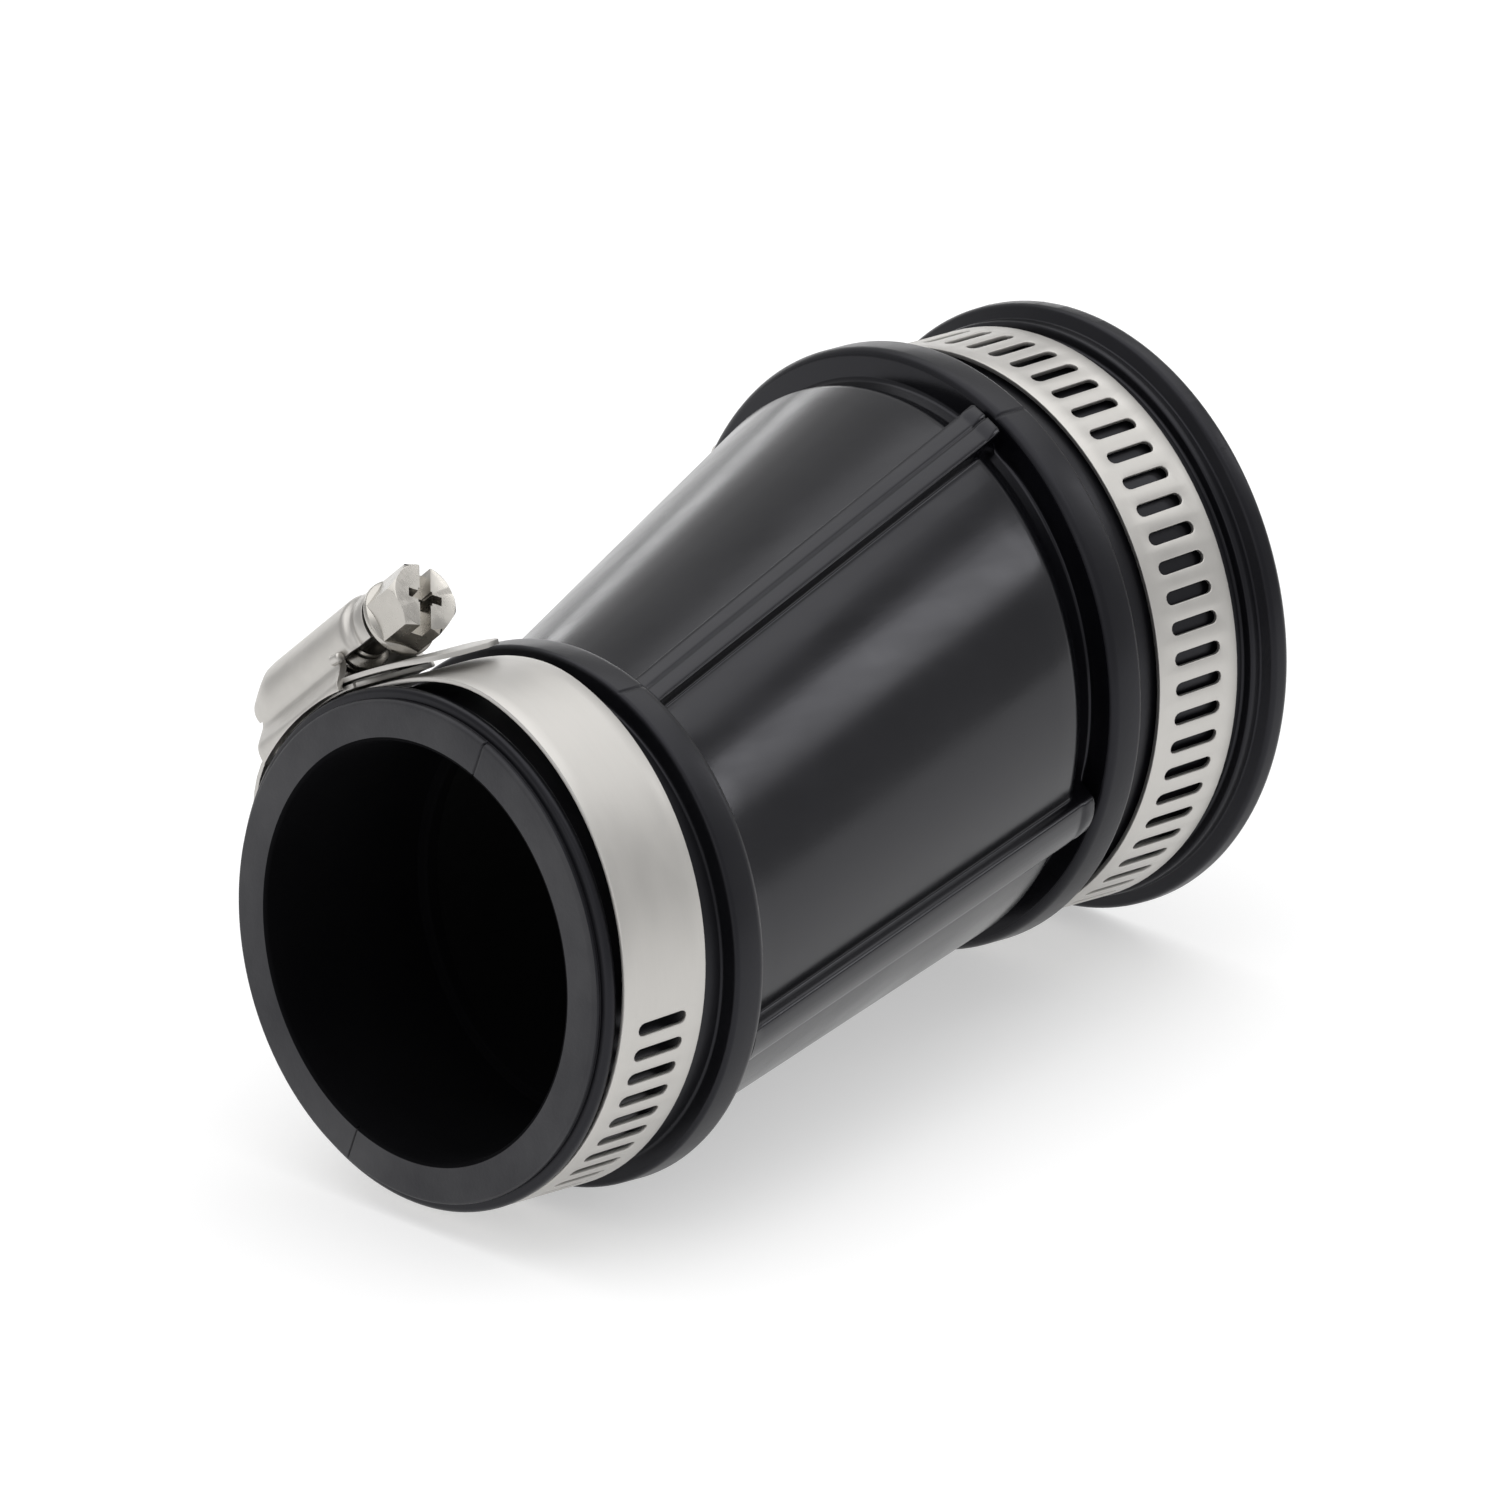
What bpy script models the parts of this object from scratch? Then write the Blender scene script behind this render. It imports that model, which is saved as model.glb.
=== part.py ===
"""Offset reducing pipe coupling: a moulded rubber sleeve and two worm-drive hose clamps.

Metres, +Z up.  The two collars of the sleeve have parallel axes along +X.  The origin is
the centre of the small mouth; the large collar sits further along +X and is set over
sideways, towards +Y and a little up.  Angles round a collar are measured about +X,
from +Y towards +Z.
"""
import math
from collections import namedtuple

import bmesh
import bpy
from mathutils import Matrix, Vector

MM = 0.001

# ---- driving dimensions -------------------------------------------------------------
GAP = 0.3 * MM                      # clearance between pieces that touch

OFFSET = 21.0 * MM                  # distance between the two collar axes
OFFSET_ANGLE = math.radians(19)     # direction of that offset
SLEEVE_STEPS = 56                   # facets round the sleeve

SMALL_BORE_R = 19.3 * MM
SMALL_SEAT_R = 23.2 * MM            # floor of the clamp groove
SMALL_LIP_R = 24.1 * MM
SMALL_FLANGE_R = 24.9 * MM
SMALL_LIP_END = 2.0 * MM            # stations along X
SMALL_FLANGE_START = 16.0 * MM
SMALL_STOP_X = 19.0 * MM
CONE_START = 20.4 * MM

CONE_SMALL_R = 22.3 * MM
CONE_LARGE_R = 25.7 * MM
CONE_INNER_SMALL_R = 18.3 * MM
CONE_INNER_LARGE_R = 21.2 * MM

CONE_END = 79.6 * MM
LARGE_STOP_X = 80.0 * MM
LARGE_FLANGE_END = 83.5 * MM
LARGE_LIP_START = 98.4 * MM
LARGE_BEAD_END = 99.9 * MM          # a low bead leads up to the large lip
LENGTH = 102.4 * MM
LARGE_BORE_R = 22.3 * MM
LARGE_SEAT_R = 26.1 * MM
LARGE_BEAD_R = 27.0 * MM
LARGE_LIP_R = 28.4 * MM
LARGE_FLANGE_R = 28.2 * MM

RIB_WIDTH = 3.6 * MM
RIB_HEIGHT = 1.7 * MM               # above the cone
RIB_ROOT = 2.0 * MM                 # sunk into the cone's wall
RIB_ANGLES = ((108, 113), (197, 197), (289, 289), (19, 19))     # degrees, small and large end

BAND_WIDTH = 10.0 * MM
BAND_THICKNESS = 0.45 * MM
# Places along a band are angles from the housing's middle line, where the screw's axis
# is nearest to the collar; the loop runs once round from its root to its end.
BAND_ROOT = math.radians(-17)       # riveted end, under the housing
BAND_END = math.radians(340.5)
BAND_CLIMB = math.radians(22)       # stretch over which the loop rises onto the saddle
BAND_POINTS = 72
BULGE_START = math.radians(16)      # where a slack loop stands off its collar
BULGE_PEAK = math.radians(56)
BULGE_END = math.radians(177)
TAIL_START = math.radians(341.5)
TAIL_TIP = math.radians(399)
TAIL_FREE = math.radians(374)       # from here the free end lifts off
TAIL_LIFT = 1.6 * MM
TAIL_POINTS = 14
SADDLE_ANGLES = (math.radians(-17), math.radians(18))

BARREL_START = -7.6 * MM            # stations along the screw's axis
BARREL_END = 5.0 * MM
BARREL_R = 4.1 * MM
SHEET = 0.7 * MM                    # pressed steel of the housing
LEG_CLEAR = 0.3 * MM
LEG_FOOT = 7.0 * MM                 # below the screw's axis, before the curved cut
NECK_R = 3.6 * MM
NECK_BORE_R = 1.9 * MM
NECK_START = 4.6 * MM
NECK_END = 9.2 * MM

WORM_CREST_R = 1.8 * MM
WORM_ROOT_R = 1.1 * MM
WORM_PITCH = 2.7 * MM
WORM_TURNS = 3
WORM_START = -4.4 * MM
SHANK_R = NECK_BORE_R - GAP
HEAD_COLLAR_R = 3.1 * MM
HEAD_COLLAR_LENGTH = 0.6 * MM
HEX_FLATS = 6.3 * MM
HEX_HEIGHT = 4.1 * MM
SLOT_WIDTH = 1.0 * MM
SLOT_DEPTH = 1.4 * MM
CROSS_LENGTH = 4.4 * MM
HEX_ANGLE = math.radians(30)        # from a corner to the middle of a flat

Clamp = namedtuple("Clamp", "name x axis band_r bulge angle")


def offset_vector():
    return Vector((0, OFFSET * math.cos(OFFSET_ANGLE), OFFSET * math.sin(OFFSET_ANGLE)))


# The small clamp is slack, so its loop bulges off its seat past the screw's head.
CLAMPS = (
    Clamp("small", 7.2 * MM, Vector((0, 0, 0)), SMALL_SEAT_R + GAP, 2.1 * MM, math.radians(48)),
    Clamp("large", 91.9 * MM, offset_vector(), LARGE_SEAT_R + GAP, 0.0, math.radians(350)),
)


# ---- scene, collections, materials --------------------------------------------------
def new_collection(name):
    collection = bpy.data.collections.new(name)
    bpy.context.scene.collection.children.link(collection)
    return collection


def new_material(name, colour, roughness, metallic):
    material = bpy.data.materials.new(name)
    material.use_nodes = True
    shader = material.node_tree.nodes["Principled BSDF"]
    shader.inputs["Base Color"].default_value = (*colour, 1)
    shader.inputs["Roughness"].default_value = roughness
    shader.inputs["Metallic"].default_value = metallic
    material.diffuse_color = (*colour, 1)
    return material


for old in list(bpy.data.objects):
    bpy.data.objects.remove(old)

PARTS = new_collection("pipe_coupling")
CUTTERS = new_collection("cutters")
RUBBER = new_material("black_rubber", (0.02, 0.02, 0.022), 0.45, 0.0)
STEEL = new_material("stainless_steel", (0.62, 0.60, 0.57), 0.3, 1.0)


# ---- modelling tools ----------------------------------------------------------------
# A frame whose local Z is +X, local X is +Y and local Y is +Z: outlines across a collar.
ACROSS = Matrix(((0, 0, 1, 0), (1, 0, 0, 0), (0, 1, 0, 0), (0, 0, 0, 1)))


def add_mesh_object(name, mesh, collection, material=None, matrix=None):
    obj = bpy.data.objects.new(name, mesh)
    collection.objects.link(obj)
    if matrix is not None:
        obj.matrix_world = matrix
    if material:
        mesh.materials.clear()
        mesh.materials.append(material)
    return obj


def baked_mesh(obj, merge):
    """The object's evaluated mesh, welded, with its normals facing out."""
    bpy.context.view_layer.update()
    evaluated = obj.evaluated_get(bpy.context.evaluated_depsgraph_get())
    mesh = bpy.data.meshes.new_from_object(evaluated)
    edit = bmesh.new()
    edit.from_mesh(mesh)
    bmesh.ops.remove_doubles(edit, verts=edit.verts, dist=merge)
    bmesh.ops.recalc_face_normals(edit, faces=edit.faces)
    edit.to_mesh(mesh)
    edit.free()
    return mesh


def extruded(name, outline, depth, matrix, material, collection=None):
    """A flat outline in the local XY plane, thickened by depth about that plane."""
    curve = bpy.data.curves.new(name, "CURVE")
    curve.dimensions = "2D"
    curve.fill_mode = "BOTH"
    curve.extrude = depth / 2
    spline = curve.splines.new("POLY")
    spline.points.add(len(outline) - 1)
    for point, (x, y) in zip(spline.points, outline):
        point.co = (x, y, 0, 1)
    spline.use_cyclic_u = True
    guide = bpy.data.objects.new(name + "_outline", curve)
    CUTTERS.objects.link(guide)
    mesh = baked_mesh(guide, 0.00001)
    bpy.data.objects.remove(guide)
    return add_mesh_object(name, mesh, collection or PARTS, material, matrix)


def turned(name, profile, steps, matrix, material, collection=None):
    """A closed (radius, height) profile swept round local Z; its outer side runs down."""
    mesh = bpy.data.meshes.new(name)
    points = [(radius, 0, height) for radius, height in profile]
    count = len(points)
    mesh.from_pydata(points, [(i, (i + 1) % count) for i in range(count)], [])
    guide = add_mesh_object(name + "_profile", mesh, CUTTERS)
    screw = guide.modifiers.new("turn", "SCREW")
    screw.axis = "Z"
    screw.steps = screw.render_steps = steps
    screw.use_merge_vertices = True
    screw.merge_threshold = 0.00001
    baked = baked_mesh(guide, 0.00001)
    bpy.data.objects.remove(guide)
    return add_mesh_object(name, baked, collection or PARTS, material, matrix)


def boolean(target, tool, operation):
    """Joins or cuts with a tool object, which becomes a hidden guide."""
    modifier = target.modifiers.new(operation.lower() + "_" + tool.name, "BOOLEAN")
    modifier.operation = operation
    modifier.solver = "EXACT"
    modifier.object = tool
    tool.hide_render = True
    tool.display_type = "WIRE"


def box_tool(name, size, matrix):
    mesh = bpy.data.meshes.new(name)
    edit = bmesh.new()
    bmesh.ops.create_cube(edit, size=1.0)
    bmesh.ops.scale(edit, vec=size, verts=edit.verts)
    edit.to_mesh(mesh)
    edit.free()
    return add_mesh_object(name, mesh, CUTTERS, matrix=matrix)


def arc(radius, start, end, count):
    """Points on a circle round the local origin, from one angle to another."""
    step = (end - start) / (count - 1)
    return [(radius * math.cos(start + step * i), radius * math.sin(start + step * i))
            for i in range(count)]


# ---- sleeve -------------------------------------------------------------------------
def shear(x):
    """Share of the sideways offset at station x: none on one collar, all on the other."""
    return min(1.0, max(0.0, (x - CONE_START) / (CONE_END - CONE_START)))


def sleeve_profile():
    """Stations (radius, x): down the outer side from the large mouth, back up inside."""
    edge = 0.7 * MM                 # rounding of lips and flanges
    mouth = 1.1 * MM                # rounding of the two mouths' outer corners
    outer = [
        (SMALL_LIP_R - mouth, 0),
        (SMALL_LIP_R - 0.3 * mouth, 0.3 * mouth),
        (SMALL_LIP_R, mouth),
        (SMALL_LIP_R, SMALL_LIP_END - 0.3 * edge),
        (SMALL_SEAT_R, SMALL_LIP_END),
        (SMALL_SEAT_R, SMALL_FLANGE_START),
        (SMALL_FLANGE_R - edge, SMALL_FLANGE_START),
        (SMALL_FLANGE_R, SMALL_FLANGE_START + edge),
        (SMALL_FLANGE_R, CONE_START - 1.7 * edge),
        (SMALL_FLANGE_R - edge, CONE_START - 0.7 * edge),
        (CONE_SMALL_R + 0.8 * MM, CONE_START),
        (CONE_SMALL_R, CONE_START + 1.6 * MM),
        (CONE_LARGE_R, CONE_END - 11.0 * MM),
        (CONE_LARGE_R, CONE_END - 6.5 * MM),
        (CONE_LARGE_R - 0.9 * MM, CONE_END - 3.0 * MM),
        (CONE_LARGE_R - 0.4 * MM, CONE_END - 1.0 * MM),
        (CONE_LARGE_R + 0.9 * MM, CONE_END),
        (LARGE_FLANGE_R - edge, CONE_END),
        (LARGE_FLANGE_R, CONE_END + edge),
        (LARGE_FLANGE_R, LARGE_FLANGE_END - edge),
        (LARGE_FLANGE_R - edge, LARGE_FLANGE_END),
        (LARGE_SEAT_R, LARGE_FLANGE_END),
        (LARGE_SEAT_R, LARGE_LIP_START),
        (LARGE_BEAD_R, LARGE_LIP_START + 0.3 * edge),
        (LARGE_BEAD_R, LARGE_BEAD_END),
        (LARGE_LIP_R, LARGE_BEAD_END + edge),
        (LARGE_LIP_R, LENGTH - mouth),
        (LARGE_LIP_R - 0.3 * mouth, LENGTH - 0.3 * mouth),
        (LARGE_LIP_R - mouth, LENGTH),
    ]
    inner = [
        (SMALL_BORE_R, 0),
        (SMALL_BORE_R, SMALL_STOP_X),
        (CONE_INNER_SMALL_R, SMALL_STOP_X),
        (CONE_INNER_SMALL_R, CONE_START),
        (CONE_INNER_LARGE_R, LARGE_STOP_X),
        (LARGE_BORE_R, LARGE_STOP_X),
        (LARGE_BORE_R, LENGTH),
    ]
    return list(reversed(outer)) + inner


def outward(angle):
    return Vector((0, math.cos(angle), math.sin(angle)))


def rib_matrix(small_angle, large_angle):
    """A frame along a line of the cone's surface: local X runs along it, local Z outwards."""
    start = Vector((CONE_START - 1.0 * MM, 0, 0)) + outward(small_angle) * CONE_SMALL_R
    end = Vector((CONE_END + 1.0 * MM, 0, 0)) + offset_vector()
    end += outward(large_angle) * CONE_LARGE_R
    along = (end - start).normalized()
    side = outward((small_angle + large_angle) / 2).cross(along).normalized()
    up = along.cross(side)
    matrix = Matrix((along, side, up)).transposed().to_4x4()
    matrix.translation = (start + end) / 2 + up * (RIB_HEIGHT - RIB_ROOT) / 2
    return matrix, (end - start).length


def make_sleeve():
    sleeve = turned("sleeve", sleeve_profile(), SLEEVE_STEPS, Matrix.Identity(4), RUBBER)
    sleeve.data.transform(ACROSS)
    offset = offset_vector()
    for vertex in sleeve.data.vertices:
        vertex.co += offset * shear(vertex.co.x)
    for number, angles in enumerate(RIB_ANGLES, start=1):
        matrix, length = rib_matrix(*(math.radians(angle) for angle in angles))
        size = (length, RIB_WIDTH, RIB_HEIGHT + RIB_ROOT)
        boolean(sleeve, box_tool(f"rib_{number}", size, matrix), "UNION")
    return sleeve


# ---- clamps -------------------------------------------------------------------------
def clamp_radii(clamp):
    """Inner radii of the loop, the saddle and the tail, and the screw axis's radius."""
    loop = clamp.band_r
    saddle = loop + BAND_THICKNESS + GAP
    tail = saddle + BAND_THICKNESS + GAP
    screw = tail + BAND_THICKNESS + GAP + WORM_CREST_R
    return loop, saddle, tail, screw


def smooth(share):
    share = min(1.0, max(0.0, share))
    return share * share * (3 - 2 * share)


def bulge(clamp, turn):
    """How far a slack loop stands off its seat."""
    if turn < BULGE_PEAK:
        return clamp.bulge * smooth((turn - BULGE_START) / (BULGE_PEAK - BULGE_START))
    return clamp.bulge * (1 - smooth((turn - BULGE_PEAK) / (BULGE_END - BULGE_PEAK)))


def collar_matrix(clamp):
    """Local origin on the collar's axis, in the middle of the band."""
    return Matrix.Translation(clamp.axis + Vector((clamp.x, 0, 0))) @ ACROSS


def housing_matrix(clamp):
    """Local X along the collar, local Y outwards, local Z along the screw to its head."""
    radius = clamp_radii(clamp)[3]
    out = outward(clamp.angle)
    along = outward(clamp.angle + math.pi / 2)
    matrix = Matrix((Vector((1, 0, 0)), out, along)).transposed().to_4x4()
    matrix.translation = clamp.axis + Vector((clamp.x, 0, 0)) + out * radius
    return matrix


def strip_outline(clamp, start, end, count, inner_radius):
    """A curved strip seen from the end: inner_radius is a function of the angle."""
    inner = []
    outer = []
    for i in range(count):
        turn = start + (end - start) * i / (count - 1)
        angle = clamp.angle + turn
        radius = inner_radius(turn)
        direction = Vector((math.cos(angle), math.sin(angle)))
        inner.append(tuple(direction * radius))
        outer.append(tuple(direction * (radius + BAND_THICKNESS)))
    return outer + list(reversed(inner))


def make_band(clamp):
    loop, _, tail, _ = clamp_radii(clamp)

    def radius(turn):
        rise = smooth((turn - (BAND_END - BAND_CLIMB)) / (0.9 * BAND_CLIMB))
        return loop + (tail - loop) * rise + bulge(clamp, turn)

    outline = strip_outline(clamp, BAND_ROOT, BAND_END, BAND_POINTS, radius)
    return extruded(clamp.name + "_band", outline, BAND_WIDTH, collar_matrix(clamp), STEEL)


def make_tail(clamp):
    tail = clamp_radii(clamp)[2]

    def radius(turn):
        free = max(0.0, (turn - TAIL_FREE) / (TAIL_TIP - TAIL_FREE))
        return tail + TAIL_LIFT * free * free

    outline = strip_outline(clamp, TAIL_START, TAIL_TIP, TAIL_POINTS, radius)
    return extruded(clamp.name + "_band_tail", outline, BAND_WIDTH, collar_matrix(clamp), STEEL)


def make_saddle(clamp):
    saddle = clamp_radii(clamp)[1]
    outline = strip_outline(clamp, *SADDLE_ANGLES, 8, lambda turn: saddle)
    return extruded(clamp.name + "_saddle", outline, BAND_WIDTH, collar_matrix(clamp), STEEL)


def disc_tool(name, clamp, radius, half_width):
    """A disc on the collar's axis, to cut a piece to the curve of the band."""
    plug = [(0, half_width), (radius, half_width), (radius, -half_width), (0, -half_width)]
    return turned(name, plug, 72, collar_matrix(clamp), None, CUTTERS)


def make_housing(clamp):
    _, saddle, tail, _ = clamp_radii(clamp)
    knee = -2.9 * MM
    leg_in = BAND_WIDTH / 2 + LEG_CLEAR
    leg_out = leg_in + SHEET
    shoulder = math.radians(-20)
    outer = arc(BARREL_R, shoulder, math.pi - shoulder, 13)
    inner = arc(BARREL_R - SHEET, math.pi - shoulder, shoulder, 13)
    outline = [(leg_out, -LEG_FOOT), (leg_out, knee), *outer, (-leg_out, knee),
               (-leg_out, -LEG_FOOT), (-leg_in, -LEG_FOOT), (-leg_in, knee - 0.3 * MM),
               *inner, (leg_in, knee - 0.3 * MM), (leg_in, -LEG_FOOT)]
    matrix = housing_matrix(clamp)
    middle = Matrix.Translation((0, 0, (BARREL_START + BARREL_END) / 2))
    housing = extruded(clamp.name + "_housing", outline, BARREL_END - BARREL_START,
                       matrix @ middle, STEEL)
    neck = [(NECK_R, NECK_END), (NECK_R, NECK_START),
            (NECK_BORE_R, NECK_START), (NECK_BORE_R, NECK_END)]
    tool = turned(clamp.name + "_neck", neck, 20, matrix, None, CUTTERS)
    boolean(housing, tool, "UNION")
    foot = disc_tool(clamp.name + "_foot_cut", clamp, saddle + 0.1 * MM, BAND_WIDTH)
    boolean(housing, foot, "DIFFERENCE")
    way = disc_tool(clamp.name + "_tail_way", clamp, tail + BAND_THICKNESS + GAP,
                    BAND_WIDTH / 2 + 0.6 * LEG_CLEAR)
    boolean(housing, way, "DIFFERENCE")
    return housing


def worm_profile(head_start):
    """Outer side of the screw, from under its hex down to the worm's end."""
    collar_start = NECK_END + GAP
    points = [(0, head_start), (HEAD_COLLAR_R, head_start),
              (HEAD_COLLAR_R, collar_start), (SHANK_R, collar_start)]
    top = WORM_START + WORM_TURNS * WORM_PITCH
    points.append((SHANK_R, top + 0.3 * MM))
    for turn in range(WORM_TURNS):
        high = top - turn * WORM_PITCH
        points += [(WORM_ROOT_R, high), (WORM_CREST_R, high - 0.30 * WORM_PITCH),
                   (WORM_CREST_R, high - 0.55 * WORM_PITCH),
                   (WORM_ROOT_R, high - 0.85 * WORM_PITCH)]
    points += [(WORM_ROOT_R, WORM_START), (0, WORM_START)]
    return points


def make_screw(clamp):
    matrix = housing_matrix(clamp)
    head_start = NECK_END + GAP + HEAD_COLLAR_LENGTH
    head_end = head_start + HEX_HEIGHT
    screw = turned(clamp.name + "_screw", worm_profile(head_start), 20, matrix, STEEL)
    sunk = 0.5 * MM                 # the hex is sunk into its round collar
    corner = HEX_FLATS / math.sqrt(3)
    mesh = bpy.data.meshes.new(clamp.name + "_hex")
    edit = bmesh.new()
    bmesh.ops.create_cone(edit, cap_ends=True, segments=6, radius1=corner,
                          radius2=corner, depth=HEX_HEIGHT + sunk)
    edit.to_mesh(mesh)
    edit.free()
    place = matrix @ Matrix.Translation((0, 0, head_end - (HEX_HEIGHT + sunk) / 2))
    boolean(screw, add_mesh_object(clamp.name + "_hex", mesh, CUTTERS, matrix=place), "UNION")
    turn = Matrix.Rotation(-HEX_ANGLE, 4, "Z")
    recess = matrix @ Matrix.Translation((0, 0, head_end)) @ turn
    slot = (SLOT_WIDTH, 3 * corner, 2 * SLOT_DEPTH)
    cross = (CROSS_LENGTH, SLOT_WIDTH, 1.8 * SLOT_DEPTH)
    boolean(screw, box_tool(clamp.name + "_slot", slot, recess), "DIFFERENCE")
    boolean(screw, box_tool(clamp.name + "_cross", cross, recess), "DIFFERENCE")
    return screw


# ---- build --------------------------------------------------------------------------
def parent_to(child, empty):
    child.parent = empty
    child.matrix_parent_inverse = empty.matrix_world.inverted()


def add_empty(name, matrix):
    empty = bpy.data.objects.new(name, None)
    PARTS.objects.link(empty)
    empty.empty_display_size = 5 * MM
    empty.matrix_world = matrix
    return empty


def make_clamp(clamp):
    """One hose clamp; the empty on the collar's axis carries everything that swivels."""
    hub = add_empty(clamp.name + "_clamp_axis", collar_matrix(clamp))
    bpy.context.view_layer.update()
    for make in (make_band, make_tail, make_saddle, make_housing, make_screw):
        parent_to(make(clamp), hub)


make_sleeve()
for one in CLAMPS:
    make_clamp(one)
bpy.context.view_layer.update()

for part in PARTS.objects:
    if part.type == "MESH":
        part.data.shade_smooth()
        part.data.set_sharp_from_angle(angle=math.radians(35))
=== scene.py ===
"""Looks of the offset reducing pipe coupling: a moulded rubber sleeve and two hose clamps.

Lengths in the modelling code are millimetres; meshes are made in metres.  Angles round a
collar are in degrees about +X, from +Y towards +Z.
"""
import math

import bmesh
import bpy
import numpy as np
from mathutils import Matrix, Vector


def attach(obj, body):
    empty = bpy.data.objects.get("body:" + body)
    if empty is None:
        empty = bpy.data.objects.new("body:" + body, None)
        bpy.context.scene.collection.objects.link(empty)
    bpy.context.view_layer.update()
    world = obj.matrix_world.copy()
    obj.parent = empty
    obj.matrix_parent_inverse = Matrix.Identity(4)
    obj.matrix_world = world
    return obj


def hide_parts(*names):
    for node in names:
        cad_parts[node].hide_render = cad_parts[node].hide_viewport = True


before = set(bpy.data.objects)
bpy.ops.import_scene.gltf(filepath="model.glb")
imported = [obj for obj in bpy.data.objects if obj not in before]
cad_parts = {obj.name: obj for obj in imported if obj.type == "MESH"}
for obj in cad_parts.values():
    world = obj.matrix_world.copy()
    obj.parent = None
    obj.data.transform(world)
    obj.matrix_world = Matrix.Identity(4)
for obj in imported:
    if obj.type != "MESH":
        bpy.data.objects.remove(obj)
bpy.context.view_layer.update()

MM = 0.001
OFFSET = np.array((19.856, 6.837))          # Y, Z of the large collar's axis
CONE_X = (20.4, 79.6)                       # where the cone starts and ends
MOUTH_X = 102.4                             # the large mouth's face


# ---- outlines and grids -------------------------------------------------------------
def rounded(corners, closed=True, steps=5):
    """Points along straight lines through (a, b, radius) corners, each corner rounded."""
    count = len(corners)
    points = []
    for i, (a, b, radius) in enumerate(corners):
        here = np.array((a, b), float)
        if radius <= 0 or (not closed and i in (0, count - 1)):
            points.append(here)
            continue
        back = np.array(corners[i - 1][:2], float) - here
        ahead = np.array(corners[(i + 1) % count][:2], float) - here
        back_length, ahead_length = np.linalg.norm(back), np.linalg.norm(ahead)
        back, ahead = back / back_length, ahead / ahead_length
        half = math.acos(float(np.clip(back @ ahead, -1, 1))) / 2
        if half > 1.56:
            points.append(here)
            continue
        reach = min(radius / math.tan(half), 0.48 * back_length, 0.48 * ahead_length)
        size = reach * math.tan(half)
        middle = back + ahead
        centre = here + middle / np.linalg.norm(middle) * size / math.sin(half)
        start, end = here + back * reach - centre, here + ahead * reach - centre
        sweep = math.pi - 2 * half
        for k in range(steps + 1):
            t = k / steps
            arm = start * math.sin((1 - t) * sweep) + end * math.sin(t * sweep)
            points.append(centre + arm / math.sin(sweep))
    return np.array(points)


def refined(points, longest):
    """The closed outline with no step longer than that."""
    out = []
    for here, there in zip(points, np.roll(points, -1, axis=0)):
        pieces = max(1, math.ceil(np.linalg.norm(there - here) / longest))
        out += [here + (there - here) * k / pieces for k in range(pieces)]
    return np.array(out)


def smooth(share):
    """An ease from 0 to 1 that is level at both ends."""
    share = np.clip(share, 0, 1)
    return share * share * (3 - 2 * share)


def grid_faces(rows, columns, wrap_rows=False, wrap_columns=False):
    """Four-sided faces over a grid of points, closed round on itself where asked."""
    index = np.arange(rows * columns).reshape(rows, columns)
    if wrap_rows:
        index = np.vstack((index, index[:1]))
    if wrap_columns:
        index = np.hstack((index, index[:, :1]))
    corners = (index[:-1, :-1], index[1:, :-1], index[1:, 1:], index[:-1, 1:])
    return np.stack(corners, -1).reshape(-1, 4)


def make_object(name, points, faces, materials, sharp=None):
    """A smooth-shaded mesh object from points in millimetres."""
    mesh = bpy.data.meshes.new(name)
    metres = (np.asarray(points, float) * MM).tolist()
    mesh.from_pydata(metres, [], [list(map(int, face)) for face in faces])
    obj = bpy.data.objects.new(name, mesh)
    bpy.context.scene.collection.objects.link(obj)
    for material in materials:
        mesh.materials.append(material)
    edit = bmesh.new()
    edit.from_mesh(mesh)
    bmesh.ops.recalc_face_normals(edit, faces=edit.faces)
    edit.to_mesh(mesh)
    edit.free()
    mesh.shade_smooth()
    if sharp:
        mesh.set_sharp_from_angle(angle=math.radians(sharp))
    return obj


def add_bevel(obj, width, segments, angle):
    """Eased edges, for a width in millimetres, where faces meet at more than the angle."""
    edge = obj.modifiers.new("edge", "BEVEL")
    edge.width = width * MM
    edge.segments = segments
    edge.limit_method = "ANGLE"
    edge.angle_limit = math.radians(angle)
    return edge


# ---- materials ----------------------------------------------------------------------
class Nodes:
    """A small helper that adds and links shader nodes."""

    def __init__(self, name):
        self.material = bpy.data.materials.new(name)
        self.material.use_nodes = True
        self.tree = self.material.node_tree
        self.shader = self.tree.nodes["Principled BSDF"]

    def add(self, kind, inputs=None, **settings):
        node = self.tree.nodes.new("ShaderNode" + kind)
        for key, value in settings.items():
            setattr(node, key, value)
        for key, value in (inputs or {}).items():
            if isinstance(value, bpy.types.NodeSocket):
                self.tree.links.new(value, node.inputs[key])
            else:
                node.inputs[key].default_value = value
        return node

    def set(self, **inputs):
        for key, value in inputs.items():
            socket = self.shader.inputs[key.replace("_", " ")]
            if isinstance(value, bpy.types.NodeSocket):
                self.tree.links.new(value, socket)
            else:
                socket.default_value = value

    def spread(self, value, low, high, out_low, out_high):
        """A value between low and high, mapped onto another range."""
        node = self.add("MapRange", {"Value": value, "From Min": low, "From Max": high,
                                     "To Min": out_low, "To Max": out_high})
        return node.outputs["Result"]

    def noise(self, vector, scale, detail=3.0, roughness=0.5):
        node = self.add("TexNoise", {"Vector": vector, "Scale": scale, "Detail": detail,
                                     "Roughness": roughness})
        return node.outputs["Fac"]

    def blend(self, share, first, second):
        node = self.add("Mix", data_type="RGBA")
        self.tree.links.new(share, node.inputs[0])
        node.inputs[6].default_value = (*first, 1)
        node.inputs[7].default_value = (*second, 1)
        return node.outputs[2]

    def bump(self, height, strength, distance):
        node = self.add("Bump", {"Height": height, "Strength": strength, "Distance": distance})
        return node.outputs["Normal"]


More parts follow.
